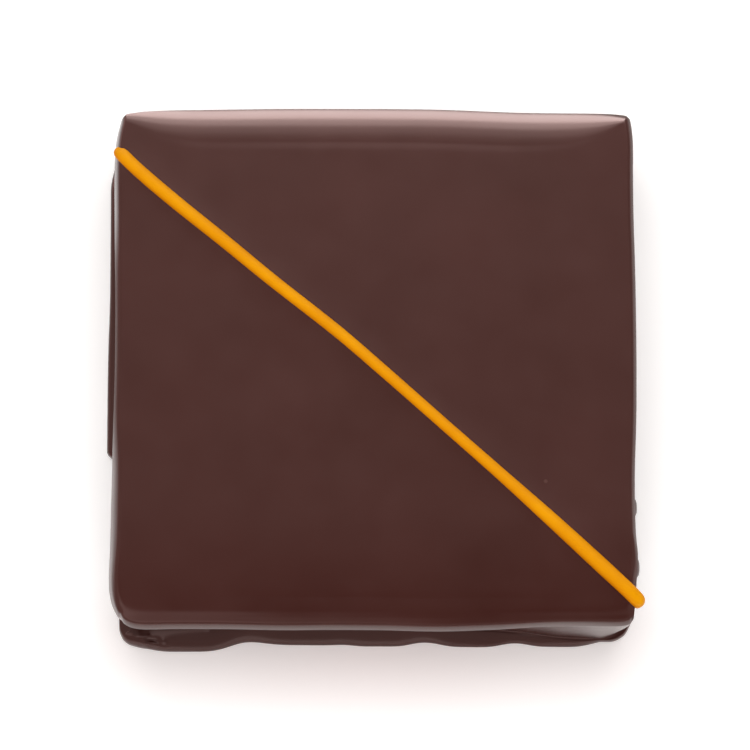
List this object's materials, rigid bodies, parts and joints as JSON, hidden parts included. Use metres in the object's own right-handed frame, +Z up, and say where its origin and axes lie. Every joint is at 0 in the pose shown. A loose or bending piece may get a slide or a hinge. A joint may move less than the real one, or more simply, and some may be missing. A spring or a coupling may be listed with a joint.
{
  "type": "chocolate bonbon",
  "caption": "Square dark chocolate bonbon with a set foot round its base and one thin orange piped line laid corner to corner over its glossy top.",
  "frame": {"origin": "middle of the flat base, at the level of the surface that the bonbon rests on", "axes": "+Z up through the top, -Y towards the front side whose foot shows most, +X to the right; the piped line runs from the back left to the front right"},
  "size_m": [0.03, 0.0298, 0.0098],
  "materials": {
    "dark_chocolate": "satin dark chocolate coating, brown, with a soft gloss",
    "orange_icing": "satin orange coloured cocoa butter of the piped line, which is fused to the chocolate in the solid"
  },
  "bodies": {
    "root": {"enrobed_bonbon": "dark_chocolate"}
  },
  "joints": []
}
